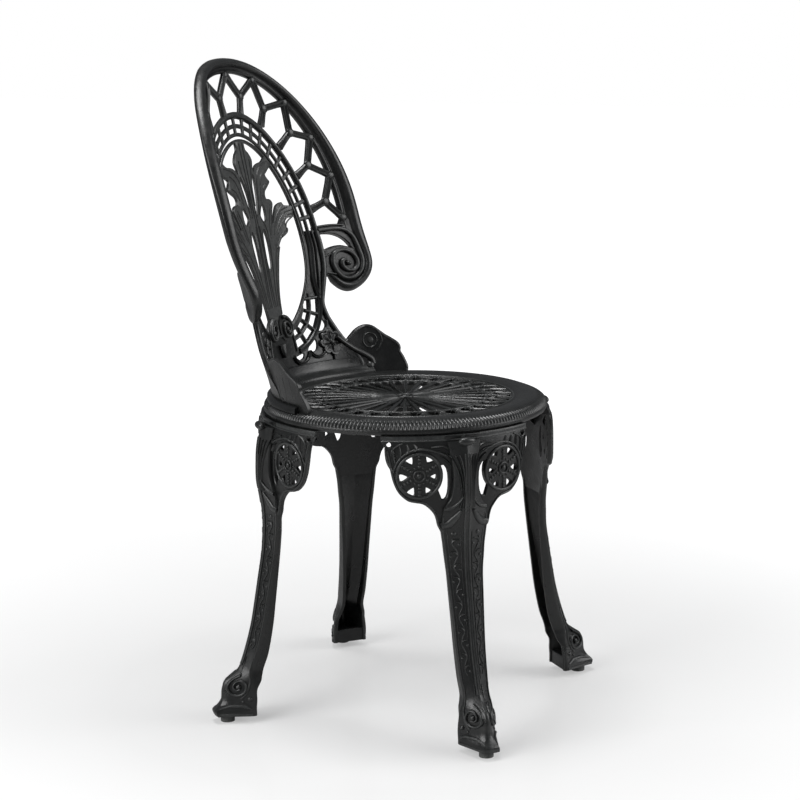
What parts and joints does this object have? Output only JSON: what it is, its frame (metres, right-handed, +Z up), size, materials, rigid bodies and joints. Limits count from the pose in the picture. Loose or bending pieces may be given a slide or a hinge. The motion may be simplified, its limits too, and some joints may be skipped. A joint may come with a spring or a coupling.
{
  "type": "cast iron garden chair",
  "caption": "Armless cast garden side chair: round pierced seat on four flared legs with pierced wheel brackets, and a tall oval openwork back with a leaf spray.",
  "frame": {"origin": "on the floor under the middle of the chair's bounding box; the seat's middle is 34.1 mm in front of it", "axes": "+Z up, -Y towards the front of the chair, +X towards the sitter's left"},
  "size_m": [0.4328, 0.5011, 0.914],
  "materials": {
    "casting": "satin black paint",
    "glide": "matt black",
    "fastener": "zinc plated"
  },
  "bodies": {
    "root": {"seat": "casting", "backrest": "casting", "front_right_leg": "casting", "front_left_leg": "casting", "rear_right_leg": "casting", "rear_left_leg": "casting", "front_right_glide": "glide", "front_left_glide": "glide", "rear_right_glide": "glide", "rear_left_glide": "glide", "front_right_leg_bolts": "fastener", "front_left_leg_bolts": "fastener", "rear_right_leg_bolts": "fastener", "rear_left_leg_bolts": "fastener", "front_right_leg_washers": "fastener", "front_left_leg_washers": "fastener", "rear_right_leg_washers": "fastener", "rear_left_leg_washers": "fastener", "back_bolts": "fastener", "back_washers": "fastener"}
  },
  "joints": []
}
